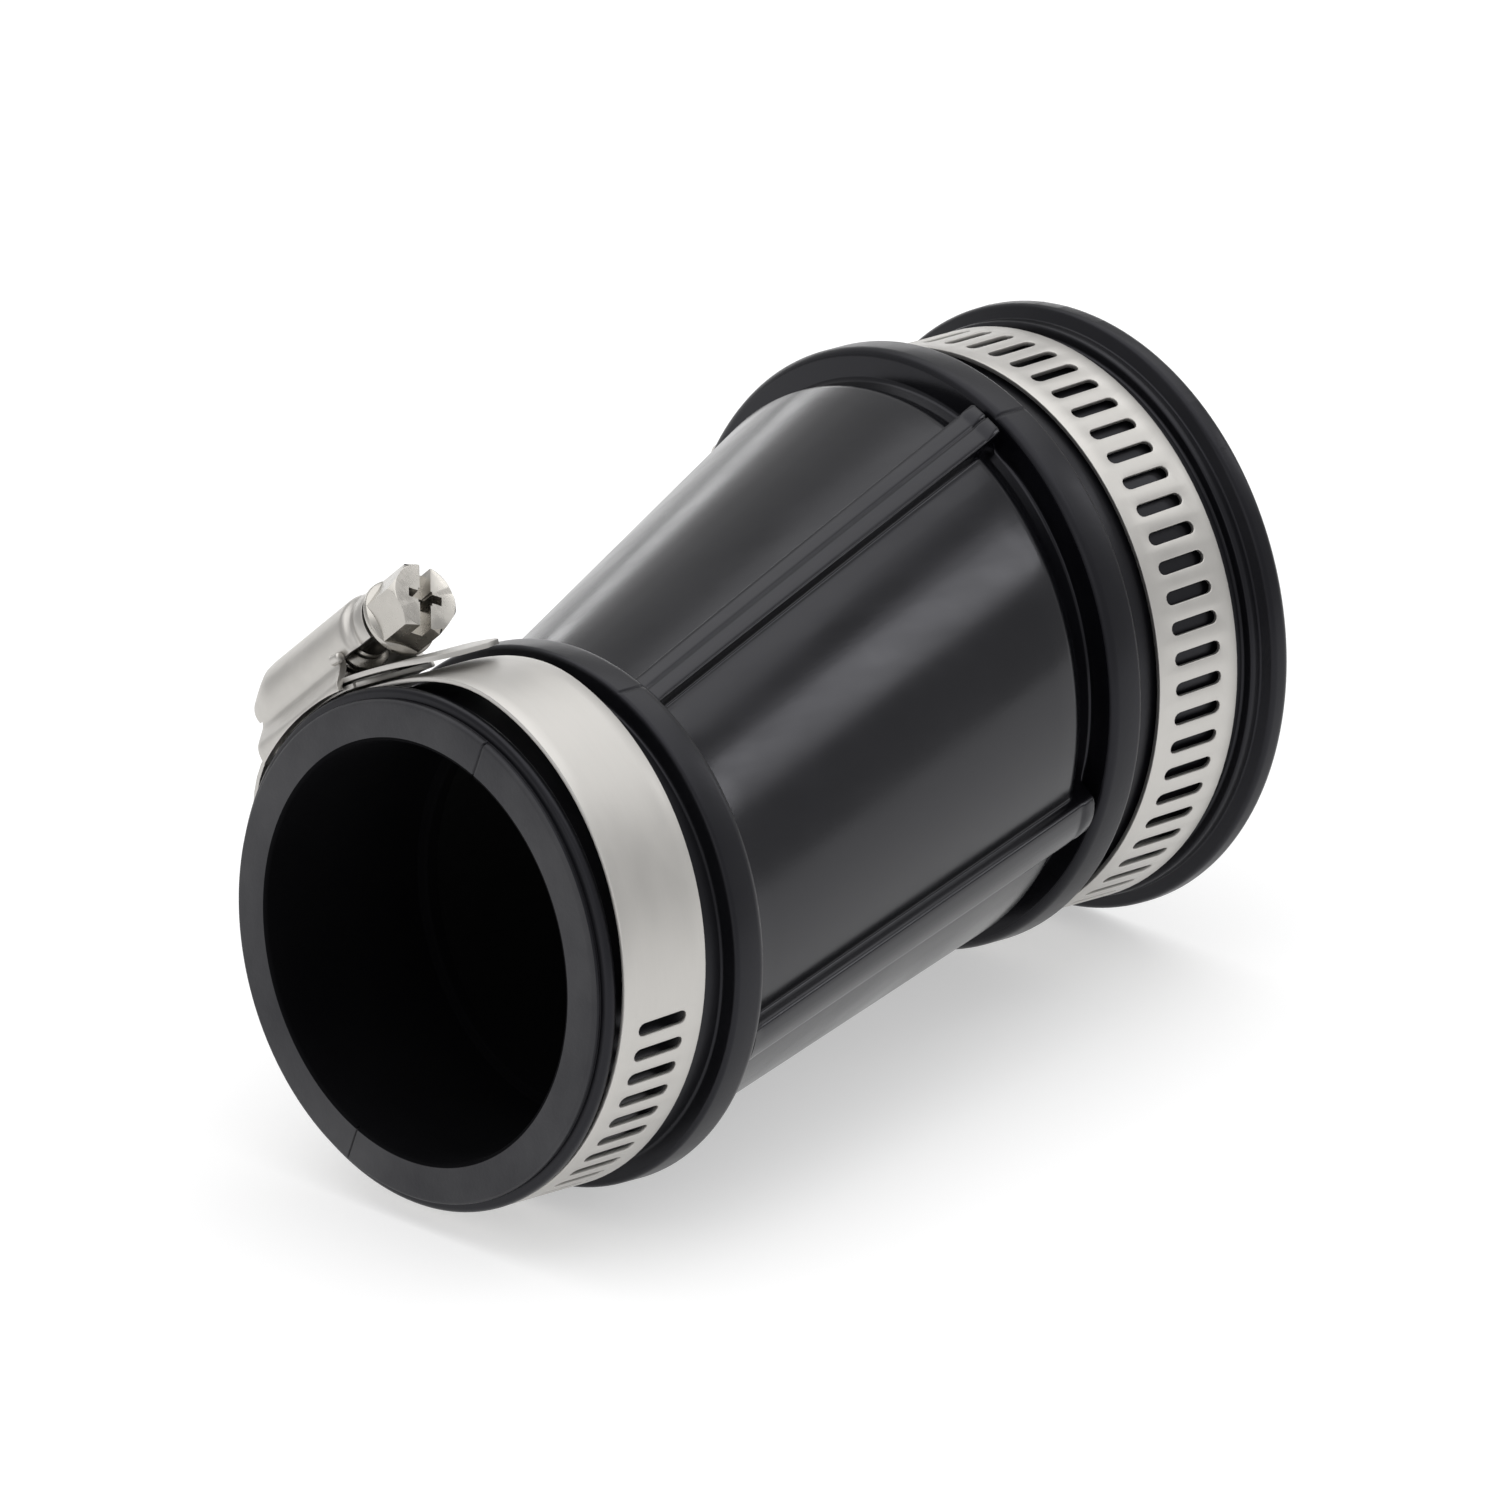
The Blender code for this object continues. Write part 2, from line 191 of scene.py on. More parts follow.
STRIP_REACH = 0.025                         # metres, a strip's radius for its flat texture
RUBBER_SHEEN = (0.90, 0.90, 1.0, 1.0)       # black rubber reflects slightly blue


def rubber_material(name, dark, light, rough, grain, gloss):
    """Moulded black rubber: fine grain, faint handling marks and slightly uneven polish."""
    n = Nodes(name)
    place = n.add("TexCoord").outputs["Object"]
    fine = n.noise(place, 2600, 2.0)
    marks = n.noise(place, 55, 4.0, 0.62)
    streak = n.add("Mapping", {"Vector": place, "Scale": (0.12, 1.0, 1.0)}).outputs["Vector"]
    flow = n.noise(streak, 420, 3.0, 0.6)
    n.set(Base_Color=n.blend(n.spread(marks, 0.35, 0.7, 0, 1), dark, light))
    both = n.add("Math", {0: n.spread(marks, 0.3, 0.75, -0.045, 0.05),
                          1: n.spread(flow, 0.3, 0.75, -0.02, 0.03)}).outputs[0]
    n.set(Roughness=n.add("Math", {0: both, 1: rough}).outputs[0],
          Specular_IOR_Level=gloss, Specular_Tint=RUBBER_SHEEN, IOR=1.5)
    height = n.add("Math", {0: n.spread(fine, 0.2, 0.8, 0, 1),
                            1: n.spread(flow, 0.2, 0.8, 0, 0.8)}).outputs[0]
    n.set(Normal=n.bump(height, grain, 0.00003))
    return n.material


def strip_material(name, centre, tint):
    """Stainless strip rolled round a collar: lengthwise brushing and soft clouding."""
    n = Nodes(name)
    place = n.add("TexCoord").outputs["Object"]
    local = n.add("VectorMath", {0: place, 1: [-c * MM for c in centre]}).outputs[0]
    parts = n.add("SeparateXYZ", {0: local})
    turn = n.add("Math", {0: parts.outputs["Z"], 1: parts.outputs["Y"]},
                 operation="ARCTAN2").outputs[0]
    along = n.add("Math", {0: turn, 1: STRIP_REACH}, operation="MULTIPLY").outputs[0]
    strip = n.add("CombineXYZ", {"X": parts.outputs["X"], "Y": along}).outputs[0]
    brushed = n.noise(n.add("Mapping", {"Vector": strip, "Scale": (1.0, 0.03, 1.0)}).outputs[0],
                      7000, 4.0, 0.65)
    cloud = n.noise(n.add("Mapping", {"Vector": strip, "Scale": (1.0, 0.5, 1.0)}).outputs[0],
                    260, 3.0, 0.55)
    n.set(Base_Color=n.blend(n.spread(cloud, 0.3, 0.7, 0, 1),
                             [0.94 * t for t in tint], tint))
    both = n.add("Math", {0: n.spread(brushed, 0.3, 0.7, -0.03, 0.03),
                          1: n.spread(cloud, 0.3, 0.7, 0.44, 0.50)}).outputs[0]
    n.set(Roughness=both, Metallic=1.0, IOR=1.5)
    n.set(Normal=n.bump(brushed, 0.10, 0.000010))
    return n.material


def steel_material(name, tint, rough, grain, scale):
    """Plated or pressed steel: soft clouding, fine draw marks."""
    n = Nodes(name)
    place = n.add("TexCoord").outputs["Object"]
    cloud = n.noise(place, scale, 4.0, 0.6)
    fine = n.noise(n.add("Mapping", {"Vector": place, "Scale": (1.0, 0.35, 0.35)}).outputs[0],
                   2400, 3.0, 0.6)
    n.set(Base_Color=n.blend(n.spread(cloud, 0.3, 0.72, 0, 1),
                             [0.84 * t for t in tint], tint))
    both = n.add("Math", {0: n.spread(cloud, 0.3, 0.7, -0.05, 0.07),
                          1: n.spread(fine, 0.3, 0.7, rough - 0.03, rough + 0.04)}).outputs[0]
    n.set(Roughness=both, Metallic=1.0, IOR=1.5)
    n.set(Normal=n.bump(fine, grain, 0.00002))
    return n.material


GLOSSY_RUBBER = rubber_material("rubber_cone", (0.0015, 0.0015, 0.0022), (0.003, 0.003, 0.0040),
                                0.21, 0.06, 0.30)
SATIN_RUBBER = rubber_material("rubber_collar", (0.003, 0.003, 0.0040), (0.006, 0.006, 0.0072),
                               0.34, 0.12, 0.30)
FACE_RUBBER = rubber_material("rubber_mouth", (0.020, 0.020, 0.021), (0.052, 0.052, 0.053),
                              0.62, 0.6, 0.40)
# Painted shade: the bore gets a darker copy of the rubber that reflects almost no light, so the
# inside stays black.
SHADED_BORE_RUBBER = rubber_material("rubber_bore_painted_shade", (0.002, 0.002, 0.0024), (0.004, 0.004, 0.0045),
                              0.90, 0.3, 0.06)


# ---- sleeve -------------------------------------------------------------------------
SMALL_MOUTH_R = 23.0
SMALL_BORE_R = 19.3
OUTER = (                                   # x, r, rounding
    (0, SMALL_MOUTH_R, 0.5), (0.7, 23.1, 0.15), (0.78, 22.95, 0.08), (0.9, 22.95, 0.08),
    (0.98, 23.95, 0.5), (2.0, 24.0, 0.45), (2.1, 23.05, 0.2), (15.9, 23.0, 0.3),
    (16.0, 24.85, 0.5), (19.5, 24.9, 1.1), (20.3, 22.9, 0.5), (21.6, 22.35, 1.4),
    (75.9, 26.3, 2.6), (78.0, 24.8, 0.8), (79.5, 25.2, 0.5), (79.62, 28.15, 0.9),
    (83.45, 28.15, 0.6), (83.55, 26.05, 0.3), (98.5, 26.0, 0.3), (98.6, 27.0, 0.35),
    (99.1, 27.02, 0.1), (99.75, 27.0, 0.2), (100.2, 28.35, 0.6), (101.9, 28.38, 0.9),
    (MOUTH_X, 27.5, 0.5),
)
INNER = (
    (MOUTH_X, 22.3, 0.5), (80.0, 22.3, 0.2), (80.0, 21.2, 0.3), (CONE_X[0], 18.3, 4.0),
    (19.0, 18.3, 0.3), (19.0, SMALL_BORE_R, 0.2), (0, SMALL_BORE_R, 0.35),
)
# Each rib: its angle on the small end, how far it leans by the large end, and if it is flat.
RIBS = ((108, 5.0, True), (197, 0.0, False), (289, 0.0, False), (19, 0.0, False))
CUT_ANGLES = (109.0, 289.0)                 # mould parting lines
CUT_STEPS = (0.13, 0.3)                     # degrees to a parting groove's floor and its edge
FLASH = (66, 79, 84, 92, 101, 118, 131)     # degrees, small nubs on the large lip
FLASH_HALF = 0.35                           # degrees
RIB_STEPS = (4.95, 4.7, 4.5, 4.42, 4.36, 4.28, 4.2, 4.05, 3.75, 3.2, 2.2, 1.2, 0.35, 0.2, 0.1)


def sleeve_turns():
    """Angles of the sleeve's rows: even steps, and finer ones at ribs, grooves and nubs."""
    turns = {round(2.0 * k, 3) for k in range(180)}
    for angle, _, _ in RIBS:
        turns |= {angle} | {round(angle + s * d, 3) for d in RIB_STEPS for s in (1, -1)}
    for angle in CUT_ANGLES:
        turns |= {angle} | {round(angle + s * d, 3) for d in CUT_STEPS for s in (1, -1)}
    for angle in FLASH:
        turns |= {angle, angle - FLASH_HALF, angle + FLASH_HALF}
    kept = []
    for turn in sorted(turns):
        if not kept or turn - kept[-1] > 0.045:
            kept.append(turn)
    return np.array(kept)


def rib_section(away, flat):
    """Height of a rib, 0 to 1, by degrees from its middle."""
    wall = np.interp(away, (0, 3.6, 4.05, 4.28, 4.42, 4.7, 4.95),
                     (1, 1, 0.96, 0.8, 0.14, 0.03, 0))
    if flat:
        groove = np.interp(away, (0, 0.12, 0.3), (0.07, 0.07, 0))
        return wall - groove
    return wall * (1 - 0.16 * np.clip(away / 4.2, 0, 1) ** 2)


def make_sleeve():
    """The whole moulding as one grid: its outline in columns, turns round it in rows."""
    outer = refined(rounded(OUTER + INNER), 2.6)
    stations, radii = outer[:, 0], outer[:, 1]
    inside = np.array([r < np.interp(x, (0, 20, 80, 102), (20.5, 20.5, 23, 24))
                       for x, r in outer])
    turns = sleeve_turns()
    x = np.repeat(stations[None, :], len(turns), 0)
    r = np.repeat(radii[None, :], len(turns), 0)
    outside = (~inside)[None, :]
    share = np.clip((x - CONE_X[0]) / (CONE_X[1] - CONE_X[0]), 0, 1)
    angle = np.repeat(turns[:, None], len(stations), 1)
    top = 23.95 + (x - CONE_X[0]) * 0.0706      # the ribs' crest line
    top = np.where(x > 76.3, top + 0.2 * np.clip((x - 76.3) / 0.5, 0, 1), top)
    fade = smooth((x - 19.9) / 0.5) * smooth((79.3 - x) / 1.1)
    warp = np.zeros_like(x)
    for middle, lean, flat in RIBS:
        away = np.abs((turns - middle + 180) % 360 - 180)
        height = rib_section(away, flat)[:, None] * fade * outside
        r = r + np.maximum(top - r, 0) * height
        pull = smooth((40 - away) / 32)[:, None]
        warp += lean * share * pull
    for middle in CUT_ANGLES:
        away = np.abs(turns - middle)
        groove = np.interp(away, (0, *CUT_STEPS), (1, 1, 0))[:, None]
        face = (x < 0.5) & (r > SMALL_BORE_R + 0.05) & (r < SMALL_MOUTH_R + 0.1)
        x = x + np.where(face, 0.45 * groove, 0)
        flange = outside & (((x > 79.7) & (x < 83.4)) | ((x > 16.2) & (x < 19.6)))
        r = r - np.where(flange, 0.12 * groove, 0)
    for middle in FLASH:
        bump = np.interp(np.abs(turns - middle), (0, 0.3), (0.02, 0))[:, None]
        r = r + np.where(outside & (x > 100.6) & (x < 101.6), bump, 0)
    angle = np.radians(angle + warp)
    points = np.stack((x, OFFSET[0] * share + r * np.cos(angle),
                       OFFSET[1] * share + r * np.sin(angle)), -1)
    faces = grid_faces(len(turns), len(stations), True, True)
    obj = make_object("sleeve_rubber", points.reshape(-1, 3), faces,
                      (SATIN_RUBBER, GLOSSY_RUBBER, FACE_RUBBER, SHADED_BORE_RUBBER))
    glossy, face_slot, bore = 1, 2, 3
    flat_x = points[..., 0].reshape(-1)
    within = np.repeat(inside[None, :], len(turns), 0).reshape(-1)
    for polygon in obj.data.polygons:
        corners = list(polygon.vertices)
        xs = flat_x[corners]
        # Faces inside the bore get the painted-shade bore rubber.
        if within[corners].all():
            polygon.material_index = bore
        elif xs.max() < 0.5 or xs.min() > MOUTH_X - 0.2:
            polygon.material_index = face_slot
        elif xs.min() > 20.3 and xs.max() < 79.7:
            polygon.material_index = glossy
    return obj


# ---- clamps -------------------------------------------------------------------------
STRIP = 0.45                                # thickness of the steel strip
GAP = 0.3                                   # clearance between pieces that touch
LAYER = STRIP + GAP


class Clamp:
    """Where a clamp sits: its collar, the radii of its layers and its housing's angle."""

    def __init__(self, name, x, axis, loop, bulge, angle, slots_from, crest):
        self.name, self.x, self.axis, self.bulge, self.angle = name, x, axis, bulge, angle
        self.loop, self.saddle, self.tail = loop, loop + LAYER, loop + 2 * LAYER
        self.screw = self.tail + STRIP + GAP + 1.8
        self.slots_from = slots_from        # degrees where the loop's slots start
        self.crest = crest                  # outer radius of the worm's thread
        self.centre = (x, *axis)

    def place(self, turn, radius, across):
        """Points on the clamp by degrees from its housing, radius and distance along X."""
        a = np.radians(self.angle + np.asarray(turn, float))
        return np.stack((self.x + np.asarray(across, float) + 0 * a,
                         self.axis[0] + radius * np.cos(a),
                         self.axis[1] + radius * np.sin(a)), -1)

    def matrix(self):
        """Local X along the collar, Y outwards, Z along the screw towards its head."""
        a = math.radians(self.angle)
        out = Vector((0, math.cos(a), math.sin(a)))
        along = Vector((0, -math.sin(a), math.cos(a)))
        matrix = Matrix((Vector((1, 0, 0)), out, along)).transposed().to_4x4()
        where = Vector((self.x, *self.axis)) + out * self.screw
        matrix.translation = where * MM
        return matrix


# The large screw lies nearer its strip, so its thread is lower.
CLAMPS = (Clamp("small", 7.2, (0.0, 0.0), 23.5, 2.1, 48.0, 132.0, 2.35),
          Clamp("large", 91.9, tuple(OFFSET), 26.4, 0.0, 350.0, -16.0, 2.05))

HALF_WIDTH = 5.0                            # of the strip
PITCH = 6.05                                # degrees from slot to slot
SLOT_STRAIGHT, SLOT_HALF = 2.275, 0.65      # half length of the straight sides, half width
SKEW = math.radians(3)                      # the slots' tilt against the strip
TIP_CORNER = 3.2                            # corner radius of a strip's rounded end
ACROSS = (-HALF_WIDTH, -3.5, -SLOT_STRAIGHT, -1.14, 0.0, 1.14, SLOT_STRAIGHT, 3.5, HALF_WIDTH)
BAND_ROOT, BAND_END = -17.0, 340.5          # degrees, the loop's two ends
TAIL_START, TAIL_FREE, TAIL_TIP = 341.5, 374.0, 399.0   # start, first lift and tip
TAIL_SLOTS = 7


def cell_rings(per_degree):
    """Flat outline of one slotted cell and its slot, as (degrees, millimetres) rings."""
    side = [(PITCH / 2, a) for a in ACROSS]
    outer = side + [(0.0, HALF_WIDTH)] + [(-t, -a) for t, a in side] + [(0.0, -HALF_WIDTH)]
    slot = []
    for end in (1, -1):
        slot += [(end * SLOT_HALF, end * SLOT_STRAIGHT * k / 2) for k in (-2, -1, 0, 1, 2)]
        slot += [(end * SLOT_HALF * math.cos(math.pi * k / 6),
                  end * (SLOT_STRAIGHT + SLOT_HALF * math.sin(math.pi * k / 6)))
                 for k in range(1, 6)]
    slot = slot[-2:] + slot[:-2]
    turned = [(a * math.cos(SKEW) - b * math.sin(SKEW), a * math.sin(SKEW) + b * math.cos(SKEW))
              for a, b in slot]
    return outer, [(a / per_degree, b) for a, b in turned]


def strip_object(clamp, name, sections, radius, material):
    """A steel strip from solid and slotted stretches, thickened, with eased edges."""
    per_degree = math.radians(1) * clamp.tail
    outer_ring, slot_ring = cell_rings(per_degree)
    points, faces, known = [], [], {}

    def vertex(turn, across, shared=True):
        key = (round(turn, 3), round(across, 3))
        if shared and key in known:
            return known[key]
        points.append(clamp.place(turn, radius(turn), across))
        if shared:
            known[key] = len(points) - 1
        return len(points) - 1

    for kind, start, end in sections:
        if kind == "slots":
            for k in range(round((end - start) / PITCH)):
                middle = start + (k + 0.5) * PITCH
                outer = [vertex(middle + t, a) for t, a in outer_ring]
                slot = [vertex(middle + t, a, False) for t, a in slot_ring]
                for i in range(len(outer)):
                    j = (i + 1) % len(outer)
                    faces.append((outer[i], outer[j], slot[j], slot[i]))
            continue
        steps = max(1, math.ceil((end - start) / 2.6))
        rows = []
        for k in range(steps + 1):
            turn = start + (end - start) * k / steps
            narrow = 1.0
            if kind == "tip":
                corner = TIP_CORNER / per_degree
                into = np.clip((turn - (end - corner)) / corner, 0, 1)
                cut = 1 - math.sqrt(max(0.0, 1 - into * into))
                narrow = 1 - (TIP_CORNER / HALF_WIDTH) * cut
            rows.append([vertex(turn, a * narrow) for a in ACROSS])
        for low, high in zip(rows, rows[1:]):
            for i in range(len(ACROSS) - 1):
                faces.append((low[i], low[i + 1], high[i + 1], high[i]))
    obj = make_object(name, np.array(points).reshape(-1, 3), faces, (material,))
    first = obj.data.polygons[0]
    out = Vector((0, first.center.y / MM - clamp.axis[0], first.center.z / MM - clamp.axis[1]))
    if first.normal.dot(out) < 0:
        obj.data.flip_normals()
    solid = obj.modifiers.new("sheet", "SOLIDIFY")
    solid.thickness = STRIP * MM
    solid.offset = 1.0
    solid.use_even_offset = False
    add_bevel(obj, 0.07, 2, 50)
    return obj


def band_radius(clamp):
    """The loop's radius: slack bulge after the housing, and a rise onto the saddle."""
    def radius(turn):
        rise = smooth((turn - 318.5) / 19.8)
        if turn < 56:
            swell = smooth((turn - 16) / 40)
        else:
            swell = 1 - smooth((turn - 56) / 121)
        return clamp.loop + 2 * LAYER * rise + clamp.bulge * swell
    return radius


def tail_radius(clamp):
    """The free end's radius, which lifts by 1.6 mm towards its tip."""
    return lambda turn: clamp.tail + 1.6 * max(0.0, (turn - TAIL_FREE) / (TAIL_TIP - TAIL_FREE)) ** 2


def make_strips(clamp, material):
    count = math.floor((BAND_END - clamp.slots_from) / PITCH)
    last = clamp.slots_from + count * PITCH
    sections = [("solid", BAND_ROOT, clamp.slots_from), ("slots", clamp.slots_from, last),
                ("solid", last, BAND_END)]
    band = strip_object(clamp, clamp.name + "_band_strip", sections, band_radius(clamp), material)
    tail_slots = TAIL_START + TAIL_SLOTS * PITCH
    sections = [("slots", TAIL_START, tail_slots), ("solid", tail_slots, TAIL_TIP - 7),
                ("tip", TAIL_TIP - 7, TAIL_TIP)]
    tail = strip_object(clamp, clamp.name + "_tail_strip", sections, tail_radius(clamp), material)
    sections = [("solid", BAND_ROOT, 14.0), ("tip", 14.0, 18.0)]
    saddle = strip_object(clamp, clamp.name + "_saddle_strip", sections,
                          lambda turn: clamp.saddle, material)
    for obj, body, node in ((band, "_clamp", "_band"), (tail, "_tail", "_band_tail"),
                            (saddle, "_clamp", "_saddle")):
        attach(obj, clamp.name + body)
        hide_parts(clamp.name + node)


LEG_ROWS = (-8.2, 5.0)                      # the legs' rear and front edges along the screw
LEG_COLUMNS, ARCH_COLUMNS = 13, 41
LUG = ((0, -0.2, 0), (0.52, -0.2, 0.1), (0.52, 1.0, 0.42), (0, 1.05, 0))
LUG_PLACE = (4.75, -0.75, 4.9)              # beside the screw, below its axis, along it


def sheet_points(clamp):
    """The housing's pressed outline at stations along the screw, as local millimetres."""
    stations = (-8.7, -8.5, -8.2, -7.7, -7.1, -6.4, -5.6, -4.6, -3.4, -2.0, -0.6, 0.8, 2.0, 3.0,
                3.5, 4.2, 5.0, 5.8, 6.4, 6.8, 7.1, 7.35, 7.6, 7.85, 8.1, 8.4, 8.7, 9.0, 9.2)
    rows = []
    for z in stations:
        neck = float(smooth((z - 6.7) / 0.9))               # the step down to the neck
        rear = float(np.clip((-6.2 - z) / 2.5, 0, 1)) ** 1.3    # the rounded rear end
        side = 4.35 - 0.75 * neck - 0.5 * rear
        crown = 3.95 - 0.5 * neck - 1.5 * rear
        roll = 0.16 * math.sin(math.pi * (z - 7.5) / 1.7) if z > 7.5 else 0.0
        side, crown = side + roll, crown + roll
        start = math.radians(-14)
        span = np.linspace(start, math.pi - start, ARCH_COLUMNS)
        arch = np.stack((side * np.cos(span), crown * np.sin(span)), -1)
        top = arch[0]
        low = foot_height(clamp, z)
        leg = rounded([(6.0, low, 0), (5.97, -3.0, 2.4), (top[0] + 0.25, top[1] - 0.5, 1.2),
                       (top[0], top[1], 0)], False, 7)
        length = np.concatenate(([0], np.cumsum(np.linalg.norm(np.diff(leg, axis=0), axis=1))))
        even = np.linspace(0, length[-1], LEG_COLUMNS)
        leg = np.stack((np.interp(even, length, leg[:, 0]),
                        np.interp(even, length, leg[:, 1])), -1)
        other = (leg * (-1, 1))[::-1]
        path = np.vstack((leg[:-1], arch, other[1:]))
        rows.append(np.hstack((path, np.full((len(path), 1), z))))
    return np.array(rows)


def foot_height(clamp, z):
    """Local height at which the housing's legs meet the band."""
    reach = clamp.saddle + 0.15
    return math.sqrt(reach * reach - z * z) - clamp.screw


def make_housing(clamp, material):
    """One pressed sheet: an arch over the worm, two legs to the band, a neck and lugs."""
    rows = sheet_points(clamp)
    columns = rows.shape[1]
    faces = []
    for face in grid_faces(len(rows), columns):
        column, z = face[0] % columns, rows[:, 0, 2][face // columns]
        leg = column < LEG_COLUMNS - 1 or column >= columns - LEG_COLUMNS
        if not leg or (z.min() > LEG_ROWS[0] - 0.01 and z.max() < LEG_ROWS[1] + 0.01):
            faces.append(face)
    obj = make_object(clamp.name + "_housing_shell", rows.reshape(-1, 3), faces, (material,))
    loose = bmesh.new()
    loose.from_mesh(obj.data)
    bmesh.ops.delete(loose, geom=[v for v in loose.verts if not v.link_faces], context="VERTS")
    loose.to_mesh(obj.data)
    loose.free()
    top = max(obj.data.polygons, key=lambda p: p.center.y)
    if top.normal.y < 0:
        obj.data.flip_normals()
    obj.data.transform(clamp.matrix())
    solid = obj.modifiers.new("sheet", "SOLIDIFY")
    solid.thickness = 0.65 * MM
    solid.offset = -1.0
    add_bevel(obj, 0.12, 3, 50)
    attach(obj, clamp.name + "_clamp")
    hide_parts(clamp.name + "_housing")
    for side in (-1, 1):
        lug = turned_object(f"{clamp.name}_lug_{'left' if side < 0 else 'right'}",
                            rounded(LUG, False, 6), 28, material)
        beside, below, along = (c * MM for c in LUG_PLACE)
        lug.data.transform(clamp.matrix() @ Matrix.Translation((side * beside, below, along))
                           @ Matrix.Rotation(math.radians(8), 4, "X"))
        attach(lug, clamp.name + "_clamp")


def turned_object(name, profile, steps, material, sharp=None):
    """A (radius, height) outline turned round local Z, in millimetres."""
    turns = np.radians(np.arange(steps) * 360 / steps)
    r, z = profile[:, 0], profile[:, 1]
    points = np.stack((np.outer(np.cos(turns), r), np.outer(np.sin(turns), r),
                       np.repeat(z[None, :], steps, 0)), -1)
    obj = make_object(name, points.reshape(-1, 3), grid_faces(steps, len(r), True), (material,))
    edit = bmesh.new()
    edit.from_mesh(obj.data)
    bmesh.ops.remove_doubles(edit, verts=edit.verts, dist=0.002 * MM)
    bmesh.ops.dissolve_degenerate(edit, edges=edit.edges, dist=0.001 * MM)
    bmesh.ops.recalc_face_normals(edit, faces=edit.faces)
    edit.to_mesh(obj.data)
    edit.free()
    if sharp:
        obj.data.set_sharp_from_angle(angle=math.radians(sharp))
    return obj


def worm_points(start, end, pitch, root, crest, per_turn=36):
    """A right-hand screw thread as a grid: rows round the helix, columns along its section."""
    section = ((0.00, root), (0.16, root), (0.30, crest - 0.12), (0.36, crest), (0.52, crest),
               (0.58, crest - 0.12), (0.72, root), (1.0, root))
    turns = int((end - start) / pitch * per_turn)
    rows = []
    for k in range(turns + 1):
        angle = 2 * math.pi * k / per_turn
        base = start + pitch * k / per_turn
        ends = min(1.0, k / 12, (turns - k) / 12)
        rows.append([((root + (r - root) * ends) * math.cos(angle),
                      (root + (r - root) * ends) * math.sin(angle), base + s * pitch - pitch)
                     for s, r in section])
    return np.array(rows)


# Each recess in the head: its width, length and depth, and how its floor narrows.
RECESSES = (((1.15, 9.0, 1.5), 1.0), ((4.5, 1.15, 2.3), 0.55), ((1.9, 1.9, 2.6), 0.55))


def hex_head(name, start, end, flats, material):
    """The chamfered hexagon with its slot and cross, cut by exact booleans."""
    corner = flats / math.sqrt(3)
    outline = rounded([(0, start, 0), (corner, start, 0), (corner, end - 0.55, 0),
                       (corner * 0.885, end, 0.12), (0, end, 0)], False, 3)
    blank = turned_object(name, outline, 96, material)
    mesh = bpy.data.meshes.new(name + "_prism")
    edit = bmesh.new()
    bmesh.ops.create_cone(edit, cap_ends=True, segments=6, radius1=corner * MM,
                          radius2=corner * MM, depth=2 * (end - start) * MM)
    edit.to_mesh(mesh)
    edit.free()
    prism = bpy.data.objects.new(name + "_prism", mesh)
    prism.matrix_world = Matrix.Translation((0, 0, (start + end) / 2 * MM))
    tools = [("INTERSECT", prism)]
    turned = Matrix.Rotation(math.radians(-30), 4, "Z")
    for (wide, long, deep), floor_share in RECESSES:
        box = bpy.data.meshes.new(name + "_recess")
        edit = bmesh.new()
        bmesh.ops.create_cube(edit, size=1.0)
        bmesh.ops.scale(edit, vec=[s * MM for s in (wide, long, 2 * deep)], verts=edit.verts)
        for v in edit.verts:
            if v.co.z < 0:
                v.co.x *= floor_share
                v.co.y *= floor_share
        edit.to_mesh(box)
        edit.free()
        tool = bpy.data.objects.new(name + "_recess", box)
        tool.matrix_world = Matrix.Translation((0, 0, end * MM)) @ turned
        tools.append(("DIFFERENCE", tool))
    for operation, tool in tools:
        bpy.context.scene.collection.objects.link(tool)
        modifier = blank.modifiers.new(operation.lower(), "BOOLEAN")
        modifier.operation, modifier.solver, modifier.object = operation, "EXACT", tool
    bpy.context.view_layer.update()
    depsgraph = bpy.context.evaluated_depsgraph_get()
    final = bpy.data.meshes.new_from_object(blank.evaluated_get(depsgraph))
    blank.modifiers.clear()
    for _, tool in tools:
        bpy.data.objects.remove(tool)
    final.materials.clear()
    final.materials.append(material)
    final.shade_smooth()
    final.set_sharp_from_angle(angle=math.radians(24))
    blank.data = final
    return blank


SHANK = ((0, -5.1, 0), (1.3, -5.1, 0.25), (1.5, -4.6, 0.2), (1.5, 9.3, 0.1), (3.2, 9.4, 0.15),
         (3.72, 9.65, 0.2), (3.7, 10.1, 0.3), (3.1, 10.5, 0.3), (0, 10.6, 0))


def make_screw(clamp, material):
    """The worm's thread, the shank with its washer collar, and the head."""
    matrix = clamp.matrix()
    worm = worm_points(-4.6, 6.9, 2.7, 1.55, clamp.crest)
    obj = make_object(clamp.name + "_worm_thread", worm.reshape(-1, 3),
                      grid_faces(*worm.shape[:2]), (material,), 50)
    solid = obj.modifiers.new("body", "SOLIDIFY")
    solid.thickness = 0.4 * MM
    top = max(obj.data.polygons, key=lambda p: p.center.y)
    if top.normal.y < 0:
        obj.data.flip_normals()
    solid.offset = -1.0
    core = turned_object(clamp.name + "_screw_core", rounded(SHANK, False, 5), 64, material, 55)
    head = hex_head(clamp.name + "_hex_head", 9.9, 14.2, 6.3, material)
    add_bevel(head, 0.11, 2, 32).harden_normals = True
    for piece in (core, head, obj):
        piece.data.transform(matrix)
        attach(piece, clamp.name + "_screw")
    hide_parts(clamp.name + "_screw")


sleeve = make_sleeve()
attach(sleeve, "sleeve")
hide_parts("sleeve")

